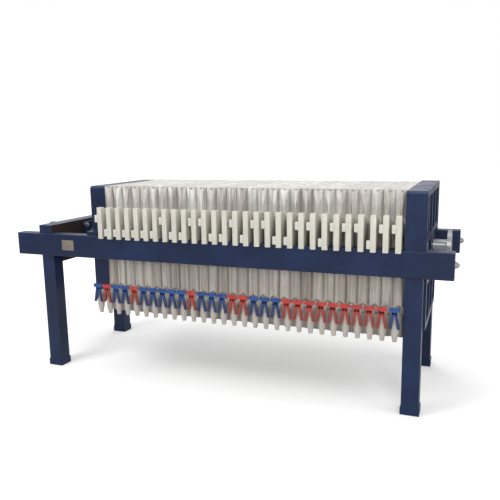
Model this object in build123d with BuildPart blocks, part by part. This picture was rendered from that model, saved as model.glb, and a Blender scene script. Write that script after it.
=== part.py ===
"""Plate filter press: a closed pack of square recessed plates hung between two side beams,
squeezed against a fixed thrust head by a sliding press head and its hydraulic ram.

The origin is on the floor, midway along and across the machine. X runs from the cylinder
to the thrust head, Y from the near beam to the far one, Z up. Millimetres.
"""
import os
from math import atan2, degrees

from build123d import *

# Plates and cloths
plate_count = 29
plate_size = 630.0
plate_thick = 58.0
plate_rim = 40.0
recess_depth = 15.0
recess_draft = 45.0
eye_radius = 42.0
eye_sides = 8
cloth_thick = 1.0
cloth_hang = 92.0
plate_pitch = plate_thick + 2 * cloth_thick
pack_length = plate_count * plate_pitch

# Side beams, which clear the heads between them
head_margin = 5.0
head_width = plate_size + 2 * head_margin
beam_clear = 18.0
beam_height = 134.0
beam_width = 74.0
beam_bottom = 706.0
beam_round = 6.0
beam_inner = head_width / 2 + beam_clear
beam_outer = beam_inner + beam_width
beam_top = beam_bottom + beam_height
beam_middle = beam_bottom + beam_height / 2
plate_drop = 32.0
plate_middle = beam_top - plate_drop

# Lengths along the machine, from the cylinder to the beam ends
cylinder_tail = 235.0
seat_thick = 88.0
head_travel = 190.0
head_parked_gap = 12.0
head_thick = 100.0
thrust_thick = 100.0
beam_overrun = 130.0
beam_lead = 161.0
barrel_flange_thick = 20.0
rod_flange_thick = 15.0
head_room = barrel_flange_thick + head_parked_gap + head_travel + rod_flange_thick
total_length = (
    cylinder_tail + seat_thick + head_room + head_thick + pack_length + thrust_thick + beam_overrun
)
cylinder_end_x = -total_length / 2
seat_x = cylinder_end_x + cylinder_tail
head_x = seat_x + seat_thick + head_room
pack_x = head_x + head_thick
thrust_x = pack_x + pack_length
beam_end_x = thrust_x + thrust_thick + beam_overrun
beam_start_x = seat_x - beam_lead

# Ears that carry the plates on the beams
ear_thick = 28.0
ear_shift = 2.0
ear_rise = 170.0
ear_hook = 12.0
ear_lip = 21.0
ear_top_width = 34.0
ear_root_rise = 112.0
hook_gap = 1.0
ear_outer = beam_outer + hook_gap + ear_lip
nub_width = 18.0
nub_height = 42.0
nub_depth = 20.0
nub_high_rise = 84.0
nub_low_rise = 4.0
nub_low_plates = (2, 3, 4, 5, 6, 7, 9, 10, 13, 14, 16, 19, 20, 23, 27)

# Drain taps, one low on each side of every plate
tap_reach = 143.0
tap_y = plate_size / 2 + tap_reach
tap_rise = 24.0
tap_sides = 6
nipple_radius = 11.0
spout_top_radius = 18.0
spout_tip_radius = 9.5
spout_head = 14.0
spout_drop = 112.0
lever_top_rise = 58.0
lever_bar_width = 52.0
lever_bar_height = 20.0
lever_thick = 10.0
lever_spread = 54.0
lever_drop = 46.0
lever_leg = 12.0
lever_gap = 0.3

# Press head, thrust head and the cylinder's seat
head_height = 2 * (plate_middle + plate_size / 2 - beam_middle)
head_edge = 12.0
head_wall = 30.0
pocket_count = 3
pocket_rib = 26.0
pocket_depth = 62.0
shoe_rise = 22.0
shoe_length = 70.0
shoe_set = 12.0
shoe_outer = beam_outer - shoe_set
thrust_set = 5.0
thrust_rise = 3.0
thrust_width = head_width - 2 * thrust_set
thrust_height = head_height + 2 * thrust_rise
shoulder_set = 8.0
shoulder_outer = beam_outer - shoulder_set
seat_rise = 50.0
seat_set = 8.0
seat_outer = beam_outer - seat_set
seat_depth = 118.0
side_gap = 1.0

# Hydraulic cylinder and ram
barrel_radius = 70.0
barrel_flange_size = 200.0
barrel_flange_edge = 16.0
barrel_cap_radius = 80.0
barrel_cap_thick = 40.0
barrel_clear = 0.5
port_radius = 17.0
port_sides = 6
port_height = 22.0
rod_radius = 42.0
rod_clear = 0.05
rod_flange_radius = 85.0

# Legs
leg_x_size = 87.0
leg_set = 16.0
leg_clear = 3.0
leg_outer = beam_outer - leg_set
leg_y_size = leg_outer - leg_clear - thrust_width / 2
foot_height = 40.0
foot_margin = 4.0
right_leg_set = 2.0

# Feed inlet on the thrust head
thrust_bore = 28.0
inlet_bore = 25.0
inlet_pipe_radius = 31.0
inlet_reach = 96.0
inlet_flange_radius = 82.5
inlet_flange_thick = 20.0
inlet_bolt_circle = 62.5
inlet_bolt_radius = 9.0
inlet_bolt_count = 4

os.makedirs("parts", exist_ok=True)


def save(part, name):
    """Labels a finished piece and writes it as its own file."""
    part.label = name
    export_step(part, f"parts/{name}.step")


def plate_part(nub_rise):
    """One filter plate with its ears, cloth and drain taps, centred on X = 0."""
    half = plate_size / 2
    rim_out = plate_thick / 2
    face_out = rim_out + cloth_thick
    mouth = plate_size - 2 * plate_rim

    # The plate and the cloth that lies on it are one slab, and the cloth hangs on below it
    with BuildPart() as slab:
        with BuildSketch(Plane.YZ.offset(-face_out)):
            with Locations((0, plate_middle)):
                Rectangle(plate_size, plate_size)
        extrude(amount=2 * face_out)
        for side in (1, -1):
            with BuildSketch(Plane.YZ.offset(side * rim_out)):
                with Locations((0, plate_middle - half - cloth_hang / 2)):
                    Rectangle(plate_size, cloth_hang)
            extrude(amount=side * cloth_thick)

        # Each face has a tapered recess, and the feed eye goes through both
        for side in (1, -1):
            face = Plane(origin=(side * face_out, 0, plate_middle), x_dir=(0, 1, 0), z_dir=(-side, 0, 0))
            with BuildSketch(face):
                Rectangle(mouth, mouth)
            extrude(amount=recess_depth + cloth_thick, taper=recess_draft, mode=Mode.SUBTRACT)
        with BuildSketch(Plane.YZ.offset(-face_out)):
            with Locations((0, plate_middle)):
                RegularPolygon(eye_radius, eye_sides)
        extrude(amount=2 * face_out, mode=Mode.SUBTRACT)

        # Each ear stands on its beam, hooks over its outer edge and carries a pull nub
        for side in (1, -1):
            outline = (
                (half, beam_top),
                (beam_outer + hook_gap, beam_top),
                (beam_outer + hook_gap, beam_top - ear_hook),
                (ear_outer, beam_top - ear_hook),
                (ear_outer, beam_top + ear_rise),
                (ear_outer - ear_top_width, beam_top + ear_rise),
                (half, beam_top + ear_root_rise),
            )
            with BuildSketch(Plane.YZ.offset(ear_shift - ear_thick / 2)):
                with BuildLine():
                    Polyline(*[(side * y, z) for y, z in outline], close=True)
                make_face()
            extrude(amount=ear_thick)
            with BuildSketch(Plane.YZ.offset(ear_shift - ear_thick / 2)):
                with Locations((side * (ear_outer - nub_depth / 2), beam_top + nub_rise + nub_height / 2)):
                    Rectangle(nub_depth, nub_height)
            extrude(amount=-nub_width)

    # A tap is a nipple from the plate's side, with a tapered spout on its end
    tap_z = plate_middle - half + tap_rise
    spout_length = spout_drop - 2 * spout_head
    with BuildPart() as nipple:
        with BuildSketch(Plane.XZ.offset(half)):
            with Locations((0, tap_z)):
                RegularPolygon(nipple_radius, tap_sides, major_radius=False)
        extrude(amount=tap_y - spout_top_radius - half)
    with BuildPart() as spout:
        with BuildSketch(Plane.XY.offset(tap_z - spout_head)) as spout_sketch:
            with Locations((0, -tap_y)):
                RegularPolygon(spout_top_radius, tap_sides, major_radius=False)
        extrude(amount=-spout_length)
        draft(
            spout.faces().filter_by(Axis.Z, reverse=True),
            neutral_plane=Plane.XY.offset(tap_z - spout_head),
            angle=-degrees(atan2(spout_top_radius - spout_tip_radius, spout_length)),
        )
        extrude(spout_sketch.sketch, amount=2 * spout_head)

    # Its lever is a bar with two legs that stand astride the spout
    bar_top = tap_z + lever_top_rise
    bar_bottom = bar_top - lever_bar_height
    with BuildPart() as lever:
        with BuildSketch(Plane.XZ.offset(tap_y + spout_top_radius + lever_gap)):
            with BuildLine():
                Polyline(
                    (-lever_bar_width / 2, bar_top),
                    (lever_bar_width / 2, bar_top),
                    (lever_bar_width / 2, bar_bottom),
                    (lever_spread / 2, tap_z - lever_drop),
                    (lever_spread / 2 - lever_leg, tap_z - lever_drop),
                    (0, bar_bottom - lever_bar_height),
                    (lever_leg - lever_spread / 2, tap_z - lever_drop),
                    (-lever_spread / 2, tap_z - lever_drop),
                    (-lever_bar_width / 2, bar_bottom),
                    close=True,
                )
            make_face()
        extrude(amount=lever_thick)

    near = [nipple.part, spout.part, lever.part]
    far = [mirror(piece, about=Plane.XZ) for piece in near]
    return Compound([slab.part] + near + far)


def pocket_grid(width, height):
    """Size of the pockets between a head's ribs, and the centres of all but the middle one."""
    cell_y = (width - 2 * head_wall - (pocket_count - 1) * pocket_rib) / pocket_count
    cell_z = (height - 2 * head_wall - (pocket_count - 1) * pocket_rib) / pocket_count
    steps = [step - (pocket_count - 1) / 2 for step in range(pocket_count)]
    centres = []
    for column in steps:
        for row in steps:
            if column or row:
                centres.append((column * (cell_y + pocket_rib), beam_middle + row * (cell_z + pocket_rib)))
    return cell_y, cell_z, centres


# The side beams are long bars with eased edges
for side, name in ((-1, "near_beam"), (1, "far_beam")):
    with BuildPart() as beam:
        with BuildSketch(Plane.YZ.offset(beam_start_x)):
            with Locations((side * (beam_inner + beam_width / 2), beam_middle)):
                RectangleRounded(beam_width, beam_height, beam_round)
        extrude(amount=beam_end_x - beam_start_x)
    save(beam.part, name)

# The cylinder's seat lies across both beams and reaches down between them
seat_inner = leg_outer - leg_y_size - side_gap
with BuildPart() as seat:
    with BuildSketch(Plane.YZ.offset(seat_x)):
        with BuildLine():
            Polyline(
                (-seat_outer, beam_top),
                (-seat_outer, beam_top + seat_rise),
                (seat_outer, beam_top + seat_rise),
                (seat_outer, beam_top),
                (seat_inner, beam_top),
                (seat_inner, beam_middle - seat_depth),
                (-seat_inner, beam_middle - seat_depth),
                (-seat_inner, beam_top),
                close=True,
            )
        make_face()
        with Locations((0, beam_middle)):
            Circle(barrel_radius + barrel_clear, mode=Mode.SUBTRACT)
    extrude(amount=seat_thick)
save(seat.part, "cylinder_seat")

# The hydraulic cylinder: barrel, end cap, mounting flange and two ports, bored for the ram
flange_x = seat_x + seat_thick
with BuildPart() as cylinder:
    with BuildSketch(Plane.YZ.offset(cylinder_end_x)):
        with Locations((0, beam_middle)):
            Circle(barrel_cap_radius)
    extrude(amount=barrel_cap_thick)
    with BuildSketch(Plane.YZ.offset(cylinder_end_x + barrel_cap_thick)):
        with Locations((0, beam_middle)):
            Circle(barrel_radius)
    extrude(amount=flange_x - cylinder_end_x - barrel_cap_thick)
    with BuildSketch(Plane.YZ.offset(flange_x)) as flange_sketch:
        with Locations((0, beam_middle)):
            Rectangle(barrel_flange_size, barrel_flange_size)
        chamfer(flange_sketch.vertices(), barrel_flange_edge)
    extrude(amount=barrel_flange_thick)
    port_x = cylinder_end_x + barrel_cap_thick / 2
    with BuildSketch(Plane.XY.offset(beam_middle)):
        with Locations((port_x, 0), (seat_x - barrel_cap_thick, 0)):
            RegularPolygon(port_radius, port_sides)
    extrude(amount=-(barrel_cap_radius + port_height))
    with BuildSketch(Plane.YZ.offset(cylinder_end_x + barrel_cap_thick)):
        with Locations((0, beam_middle)):
            Circle(rod_radius + rod_clear)
    extrude(amount=flange_x + barrel_flange_thick - cylinder_end_x - barrel_cap_thick, mode=Mode.SUBTRACT)
save(cylinder.part, "hydraulic_cylinder")

# The ram is pushed out by the travel and bolted to the head's back by its flange
ram_start_x = cylinder_end_x + barrel_cap_thick + head_travel + head_parked_gap
with BuildPart() as ram:
    with BuildSketch(Plane.YZ.offset(ram_start_x)):
        with Locations((0, beam_middle)):
            Circle(rod_radius)
    extrude(amount=head_x - ram_start_x)
    with BuildSketch(Plane.YZ.offset(head_x - rod_flange_thick)):
        with Locations((0, beam_middle)):
            Circle(rod_flange_radius)
    extrude(amount=rod_flange_thick)
save(ram.part, "ram")

# The press head is ribbed behind and slides on a shoe over each beam
with BuildPart() as press_head:
    with BuildSketch(Plane.YZ.offset(head_x)) as head_sketch:
        with Locations((0, beam_middle)):
            Rectangle(head_width, head_height)
        chamfer(head_sketch.vertices(), head_edge)
    extrude(amount=head_thick)
    cell_y, cell_z, centres = pocket_grid(head_width, head_height)
    with BuildSketch(Plane.YZ.offset(head_x)):
        with Locations(*centres):
            Rectangle(cell_y, cell_z)
    extrude(amount=pocket_depth, mode=Mode.SUBTRACT)
    for side in (1, -1):
        with BuildSketch(Plane.YZ.offset(head_x + (head_thick - shoe_length) / 2)):
            with Locations((side * (head_width / 2 + shoe_outer) / 2, beam_top + shoe_rise / 2)):
                Rectangle(shoe_outer - head_width / 2, shoe_rise)
        extrude(amount=shoe_length)
save(press_head.part, "press_head")

# The thrust head stands between the beams, bears on them with broad shoulders and is ribbed outside
thrust_top = beam_middle + thrust_height / 2
shoulder_rise = thrust_top - beam_top
with BuildPart() as thrust_head:
    with BuildSketch(Plane.YZ.offset(thrust_x)) as thrust_sketch:
        with Locations((0, beam_middle)):
            Rectangle(thrust_width, thrust_height)
        with Locations((0, beam_top + shoulder_rise / 2)):
            Rectangle(2 * shoulder_outer, shoulder_rise)
        chamfer(thrust_sketch.vertices().group_by(Axis.Y)[0], head_edge)
        chamfer(thrust_sketch.vertices().group_by(Axis.Y)[-1], head_edge)
    extrude(amount=thrust_thick)
    cell_y, cell_z, centres = pocket_grid(thrust_width, thrust_height)
    with BuildSketch(Plane.YZ.offset(thrust_x + thrust_thick)):
        with Locations(*centres):
            Rectangle(cell_y, cell_z)
        for side in (1, -1):
            with Locations((side * (thrust_width / 2 + shoulder_outer - head_wall) / 2, beam_top + shoulder_rise / 2)):
                Rectangle(shoulder_outer - head_wall - thrust_width / 2, shoulder_rise - 2 * head_wall)
    extrude(amount=-pocket_depth, mode=Mode.SUBTRACT)
    with BuildSketch(Plane.YZ.offset(thrust_x)):
        with Locations((0, plate_middle)):
            Circle(thrust_bore)
    extrude(amount=thrust_thick, mode=Mode.SUBTRACT)
save(thrust_head.part, "thrust_head")

# The feed inlet is a stub pipe with a bolted flange
inlet_x = thrust_x + thrust_thick
with BuildPart() as inlet:
    with BuildSketch(Plane.YZ.offset(inlet_x)):
        with Locations((0, plate_middle)):
            Circle(inlet_pipe_radius)
    extrude(amount=inlet_reach)
    with BuildSketch(Plane.YZ.offset(inlet_x + inlet_reach - inlet_flange_thick)):
        with Locations((0, plate_middle)):
            Circle(inlet_flange_radius)
            with PolarLocations(inlet_bolt_circle, inlet_bolt_count, start_angle=45):
                Circle(inlet_bolt_radius, mode=Mode.SUBTRACT)
    extrude(amount=inlet_flange_thick)
    with BuildSketch(Plane.YZ.offset(inlet_x)):
        with Locations((0, plate_middle)):
            Circle(inlet_bore)
    extrude(amount=inlet_reach, mode=Mode.SUBTRACT)
save(inlet.part, "feed_inlet")

# Four box legs with a slightly wider foot stand under the beams
leg_places = (
    (seat_x, -1, "near_left_leg"),
    (seat_x, 1, "far_left_leg"),
    (thrust_x + right_leg_set, -1, "near_right_leg"),
    (thrust_x + right_leg_set, 1, "far_right_leg"),
)
for leg_x, side, name in leg_places:
    with BuildPart() as leg:
        with BuildSketch(Plane.XY):
            with Locations((leg_x + leg_x_size / 2, side * (leg_outer - leg_y_size / 2))):
                Rectangle(leg_x_size + 2 * foot_margin, leg_y_size + 2 * foot_margin)
        extrude(amount=foot_height)
        with BuildSketch(Plane.XY.offset(foot_height)):
            with Locations((leg_x + leg_x_size / 2, side * (leg_outer - leg_y_size / 2))):
                Rectangle(leg_x_size, leg_y_size)
        extrude(amount=beam_bottom - foot_height)
    save(leg.part, name)

# The plates, counted from the press head to the thrust head
shapes = {rise: plate_part(rise) for rise in (nub_high_rise, nub_low_rise)}
for number in range(1, plate_count + 1):
    rise = nub_low_rise if number in nub_low_plates else nub_high_rise
    middle_x = pack_x + (number - 1 + 1 / 2) * plate_pitch
    save(Pos(middle_x, 0, 0) * shapes[rise], f"filter_plate_{number:02d}")
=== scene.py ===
import math

import bmesh
import bpy
from mathutils import Matrix, Vector, noise


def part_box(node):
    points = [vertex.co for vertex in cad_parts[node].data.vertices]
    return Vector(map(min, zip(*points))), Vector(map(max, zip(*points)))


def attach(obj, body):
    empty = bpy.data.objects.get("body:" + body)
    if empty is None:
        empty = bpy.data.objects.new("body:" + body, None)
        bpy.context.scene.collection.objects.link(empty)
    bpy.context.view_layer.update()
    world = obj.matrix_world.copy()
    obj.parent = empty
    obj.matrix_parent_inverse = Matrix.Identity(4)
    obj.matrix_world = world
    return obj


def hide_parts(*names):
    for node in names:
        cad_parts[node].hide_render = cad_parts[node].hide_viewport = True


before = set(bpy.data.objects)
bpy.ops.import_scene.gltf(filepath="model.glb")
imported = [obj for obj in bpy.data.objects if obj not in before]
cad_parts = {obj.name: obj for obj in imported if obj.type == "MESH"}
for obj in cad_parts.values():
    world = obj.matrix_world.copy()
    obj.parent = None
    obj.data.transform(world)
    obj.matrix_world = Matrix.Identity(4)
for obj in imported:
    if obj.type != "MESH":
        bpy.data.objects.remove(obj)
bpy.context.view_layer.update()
print("frame loaded")

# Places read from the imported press, in metres
beamLow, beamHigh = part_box("near_beam")
farLow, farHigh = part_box("far_beam")
seatLow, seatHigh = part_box("cylinder_seat")
thrustLow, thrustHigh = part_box("thrust_head")
headLow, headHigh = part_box("press_head")
cylinderLow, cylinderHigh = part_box("hydraulic_cylinder")
inletLow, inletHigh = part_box("feed_inlet")
plateNames = sorted(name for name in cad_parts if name.startswith("filter_plate_"))


def plateMiddle(name):
    low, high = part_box(name)
    return (low[0] + high[0]) / 2


# Small helpers for shapes

def newObject(name, mesh):
    obj = bpy.data.objects.new(name, mesh)
    bpy.context.scene.collection.objects.link(obj)
    return obj


def meshFrom(bm, name, smoothAngle=40):
    bmesh.ops.recalc_face_normals(bm, faces=bm.faces)
    mesh = bpy.data.meshes.new(name)
    for face in bm.faces:
        face.smooth = True
    for edge in bm.edges:
        if len(edge.link_faces) == 2:
            edge.smooth = edge.calc_face_angle(0) < math.radians(smoothAngle)
    bm.to_mesh(mesh)
    bm.free()
    return mesh


def addBlock(bm, middle, size, turn=None, round=0.0, steps=2, slot=0):
    made = bmesh.ops.create_cube(bm, size=1.0)
    verts = made["verts"]
    bmesh.ops.scale(bm, vec=Vector(size), verts=verts)
    faces = {face for vert in verts for face in vert.link_faces}
    if round > 0:
        edges = {edge for vert in verts for edge in vert.link_edges}
        out = bmesh.ops.bevel(bm, geom=list(edges), offset=round, segments=steps, profile=0.5,
                              affect="EDGES", material=-1, clamp_overlap=True)
        faces = {face for face in faces if face.is_valid} | set(out["faces"])
    for face in faces:
        face.material_index = slot
    verts = list({vert for face in faces for vert in face.verts})
    if turn is not None:
        bmesh.ops.transform(bm, matrix=turn, verts=verts)
    bmesh.ops.translate(bm, vec=Vector(middle), verts=verts)
    return verts


def addRod(bm, start, end, radius, tip=None, sides=12, slot=0):
    start = Vector(start)
    end = Vector(end)
    along = end - start
    made = bmesh.ops.create_cone(bm, cap_ends=True, cap_tris=False, segments=sides, radius1=radius,
                                 radius2=radius if tip is None else tip, depth=along.length)
    turn = along.to_track_quat("Z", "Y").to_matrix().to_4x4()
    place = Matrix.Translation((start + end) / 2) @ turn
    bmesh.ops.transform(bm, matrix=place, verts=made["verts"])
    for face in {face for vert in made["verts"] for face in vert.link_faces}:
        face.material_index = slot
    return made["verts"]


mergeDistance = 0.00002


def addLathe(bm, profile, place, sides=20, slot=0):
    # The profile is (radius, height) from one end of the axis to the other
    verts = [bm.verts.new((radius, 0, height)) for radius, height in profile]
    edges = [bm.edges.new(pair) for pair in zip(verts, verts[1:])]
    bmesh.ops.spin(bm, geom=verts + edges, cent=(0, 0, 0), axis=(0, 0, 1), angle=math.tau,
                   steps=sides, use_merge=True, use_duplicate=False)
    faces = {face for vert in verts if vert.is_valid for face in vert.link_faces}
    grown = True
    while grown:
        more = {other for face in faces for edge in face.edges for other in edge.link_faces} - faces
        faces |= more
        grown = bool(more)
    around = list({vert for face in faces for vert in face.verts})
    bmesh.ops.remove_doubles(bm, verts=around, dist=mergeDistance)
    around = [vert for vert in around if vert.is_valid]
    bmesh.ops.transform(bm, matrix=place, verts=around)
    for face in {face for vert in around for face in vert.link_faces}:
        face.material_index = slot
    return around


def addPlateShape(bm, outline, axisMiddle, thick, round=0.0, slot=0):
    # The outline is (y, z); the shape stands across X
    verts = [bm.verts.new((axisMiddle - thick / 2, y, z)) for y, z in outline]
    face = bm.faces.new(verts)
    made = bmesh.ops.extrude_face_region(bm, geom=[face])
    moved = [item for item in made["geom"] if isinstance(item, bmesh.types.BMVert)]
    bmesh.ops.translate(bm, vec=(thick, 0, 0), verts=moved)
    shape = set(verts) | set(moved)
    if round > 0:
        edges = list({edge for vert in shape for edge in vert.link_edges})
        out = bmesh.ops.bevel(bm, geom=edges, offset=round, segments=2, profile=0.5,
                              affect="EDGES", material=-1, clamp_overlap=True)
        shape = {vert for vert in shape if vert.is_valid}
        shape |= {vert for face in out["faces"] for vert in face.verts}
    for face in {face for vert in shape for face in vert.link_faces}:
        face.material_index = slot
    return list(shape)


# Start, end, radius and sides of a bolt's washer, its head and the thread's end, as shares of its size
boltParts = ((0.0, 0.12, 0.95, 16), (0.12, 0.75, 0.75, 6), (0.75, 1.05, 0.4, 10))


def addHexBolt(bm, place, normal, size, slot=0):
    place = Vector(place)
    normal = Vector(normal)
    for start, end, radius, sides in boltParts:
        addRod(bm, place + normal * size * start, place + normal * size * end, size * radius,
               sides=sides, slot=slot)


# Shader groups shared by the finishes

def newGroup(name, inputs, outputs):
    group = bpy.data.node_groups.new(name, "ShaderNodeTree")
    for socketName, kind, value in inputs:
        socket = group.interface.new_socket(name=socketName, in_out="INPUT", socket_type=kind)
        socket.default_value = value
    for socketName, kind in outputs:
        group.interface.new_socket(name=socketName, in_out="OUTPUT", socket_type=kind)
    source = group.nodes.new("NodeGroupInput")
    sink = group.nodes.new("NodeGroupOutput")
    return group, source, sink


def mathNode(tree, operation, first, second=None):
    node = tree.nodes.new("ShaderNodeMath")
    node.operation = operation
    for index, value in ((0, first), (1, second)):
        if value is None:
            continue
        if isinstance(value, (int, float)):
            node.inputs[index].default_value = value
        else:
            tree.links.new(value, node.inputs[index])
    return node.outputs[0]


def rangeNode(tree, value, low, high, toLow=0.0, toHigh=1.0):
    node = tree.nodes.new("ShaderNodeMapRange")
    node.interpolation_type = "SMOOTHSTEP"
    tree.links.new(value, node.inputs["Value"])
    node.inputs["From Min"].default_value = low
    node.inputs["From Max"].default_value = high
    node.inputs["To Min"].default_value = toLow
    node.inputs["To Max"].default_value = toHigh
    return node.outputs["Result"]


def mixNode(tree, factor, first, second):
    node = tree.nodes.new("ShaderNodeMix")
    node.data_type = "RGBA"
    for socket, value in ((node.inputs[0], factor), (node.inputs[6], first), (node.inputs[7], second)):
        if isinstance(value, (int, float, tuple)):
            socket.default_value = value
        else:
            tree.links.new(value, socket)
    return node.outputs[2]


def noiseNode(tree, vector, scale, detail=4.0, rough=0.55):
    node = tree.nodes.new("ShaderNodeTexNoise")
    tree.links.new(vector, node.inputs["Vector"])
    if isinstance(scale, (int, float)):
        node.inputs["Scale"].default_value = scale
    else:
        tree.links.new(scale, node.inputs["Scale"])
    node.inputs["Detail"].default_value = detail
    node.inputs["Roughness"].default_value = rough
    return node.outputs["Fac"]


groupLook = {
    "patchNoise": (5.0, 0.6),
    "patchRange": (0.38, 0.68),
    "grainNoise": (2.0, 0.5),
    "dustNoise": (14.0, 6.0, 0.65),
    "dustRange": (0.3, 0.65),
    "dustUpward": (0.4, 0.95),
    "threadRange": (0.1, 0.6),
}


def makeMottleGroup():
    # Soft patches of a second colour, with a little grain
    group, source, sink = newGroup(
        "mottle",
        (("Vector", "NodeSocketVector", (0, 0, 0)), ("Color", "NodeSocketColor", (0.5, 0.5, 0.5, 1)),
         ("Patch Color", "NodeSocketColor", (0.4, 0.4, 0.4, 1)), ("Scale", "NodeSocketFloat", 6.0),
         ("Amount", "NodeSocketFloat", 0.5), ("Grain Scale", "NodeSocketFloat", 300.0)),
        (("Color", "NodeSocketColor"), ("Mask", "NodeSocketFloat"), ("Height", "NodeSocketFloat")))
    big = noiseNode(group, source.outputs["Vector"], source.outputs["Scale"], *groupLook["patchNoise"])
    grain = noiseNode(group, source.outputs["Vector"], source.outputs["Grain Scale"],
                      *groupLook["grainNoise"])
    mask = rangeNode(group, big, *groupLook["patchRange"])
    factor = mathNode(group, "MULTIPLY", mask, source.outputs["Amount"])
    color = mixNode(group, factor, source.outputs["Color"], source.outputs["Patch Color"])
    group.links.new(color, sink.inputs["Color"])
    group.links.new(mask, sink.inputs["Mask"])
    group.links.new(grain, sink.inputs["Height"])
    return group


def makeDustGroup():
    # Pale dust that settles on what faces up
    group, source, sink = newGroup(
        "dust",
        (("Vector", "NodeSocketVector", (0, 0, 0)), ("Color", "NodeSocketColor", (0.5, 0.5, 0.5, 1)),
         ("Dust Color", "NodeSocketColor", (0.45, 0.43, 0.4, 1)), ("Amount", "NodeSocketFloat", 0.4)),
        (("Color", "NodeSocketColor"), ("Mask", "NodeSocketFloat")))
    geometry = group.nodes.new("ShaderNodeNewGeometry")
    split = group.nodes.new("ShaderNodeSeparateXYZ")
    group.links.new(geometry.outputs["Normal"], split.inputs[0])
    upward = rangeNode(group, split.outputs["Z"], *groupLook["dustUpward"])
    patches = rangeNode(group, noiseNode(group, source.outputs["Vector"], *groupLook["dustNoise"]),
                        *groupLook["dustRange"])
    mask = mathNode(group, "MULTIPLY", mathNode(group, "MULTIPLY", upward, patches),
                    source.outputs["Amount"])
    group.links.new(mixNode(group, mask, source.outputs["Color"], source.outputs["Dust Color"]),
                    sink.inputs["Color"])
    group.links.new(mask, sink.inputs["Mask"])
    return group


def makeWeaveGroup():
    # Two crossed sets of threads on the cloth's own map, in metres
    group, source, sink = newGroup(
        "weave",
        (("Vector", "NodeSocketVector", (0, 0, 0)), ("Thread", "NodeSocketFloat", 0.0012)),
        (("Height", "NodeSocketFloat"), ("Mask", "NodeSocketFloat")))
    split = group.nodes.new("ShaderNodeSeparateXYZ")
    group.links.new(source.outputs["Vector"], split.inputs[0])
    waves = []
    for axis in ("X", "Y"):
        turns = mathNode(group, "DIVIDE", split.outputs[axis], source.outputs["Thread"])
        wave = mathNode(group, "SINE", mathNode(group, "MULTIPLY", turns, math.pi))
        waves.append(mathNode(group, "ABSOLUTE", wave))
    both = mathNode(group, "MULTIPLY", waves[0], waves[1])
    group.links.new(both, sink.inputs["Height"])
    group.links.new(rangeNode(group, both, *groupLook["threadRange"]), sink.inputs["Mask"])
    return group


mottleGroup = makeMottleGroup()
dustGroup = makeDustGroup()
weaveGroup = makeWeaveGroup()


def newMaterial(name):
    material = bpy.data.materials.new(name)
    material.use_nodes = True
    tree = material.node_tree
    shader = tree.nodes["Principled BSDF"]
    return material, tree, shader


def placeGroup(tree, group, vector, **values):
    node = tree.nodes.new("ShaderNodeGroup")
    node.node_tree = group
    if vector is not None:
        tree.links.new(vector, node.inputs["Vector"])
    for key, value in values.items():
        socket = node.inputs[key]
        if isinstance(value, (int, float, tuple)):
            socket.default_value = value
        else:
            tree.links.new(value, socket)
    return node


def splitVector(tree, vector):
    split = tree.nodes.new("ShaderNodeSeparateXYZ")
    tree.links.new(vector, split.inputs[0])
    return split.outputs


def stretchedVector(tree, vector, scale):
    mapping = tree.nodes.new("ShaderNodeMapping")
    mapping.inputs["Scale"].default_value = scale
    tree.links.new(vector, mapping.inputs["Vector"])
    return mapping.outputs["Vector"]


def bumpFrom(tree, shader, height, strength, distance):
    bump = tree.nodes.new("ShaderNodeBump")
    bump.inputs["Strength"].default_value = strength
    bump.inputs["Distance"].default_value = distance
    tree.links.new(height, bump.inputs["Height"])
    tree.links.new(bump.outputs["Normal"], shader.inputs["Normal"])


def objectVector(tree):
    return tree.nodes.new("ShaderNodeTexCoord").outputs["Object"]


def hexColor(text):
    parts = [int(text[i:i + 2], 16) / 255 for i in (0, 2, 4)]
    line = [part / 12.92 if part <= 0.04045 else ((part + 0.055) / 1.055) ** 2.4 for part in parts]
    return (*line, 1.0)


finishColors = {
    "paint": "051735",
    "paintPatch": "0d2449",
    "paintDust": "4d5870",
    # Painted shade for the seat's inner face, in two speckled tones
    "seatShade": "33231f",
    "seatShadePatch": "17161a",
    "plastic": "bcbab0",
    "plasticPatch": "b0ada2",
    # Painted light on the cloth above the beams
    "clothLitUpper": "d6d6d1",
    "cloth": "beb8b0",
    # Painted shade for the pleats' strips, mixed with the cloths' own tones
    "clothPatch": "98918a",
    # Painted shade for the hem and the creases
    "clothShadeAndTone": "7d746b",
    "clothShade": "57534e",
    "leverBlue": "123f80",
    "leverBluePatch": "0d1b44",
    "leverRed": "a32b25",
    "leverRedPatch": "702822",
    "steel": "9b9c9e",
    "chrome": "c2c4c8",
    "plate": "8b8179",
    "lowTone": "98918c",
    "dark": "1c1c1e",
    # Colours of the dark blocks on the plates' top edges, which are painted shade
    "darkPatch": "2c2c30",
    "floor": "f4f4f4",
}


paintLook = {
    "scale": 3.5,
    "amount": 0.7,
    "grainScale": 260.0,
    "dust": 0.55,
    "dustRough": 0.3,
    "scratchNoise": (45.0, 8.0, 0.75),
    "scratchRange": (0.66, 0.74),
    "scratches": 0.35,
    "rough": (0.34, 0.5),
    "specular": 0.28,
    "bump": (0.25, 0.0006),
    # Painted shade on the seat's inner face
    "seatShadeScale": 60.0,
    "seatShadeAmount": 0.9,
    "seatShadeFacing": (0.7, 0.9),
    "seatShadeRough": (0.4, 0.75),
}


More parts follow.
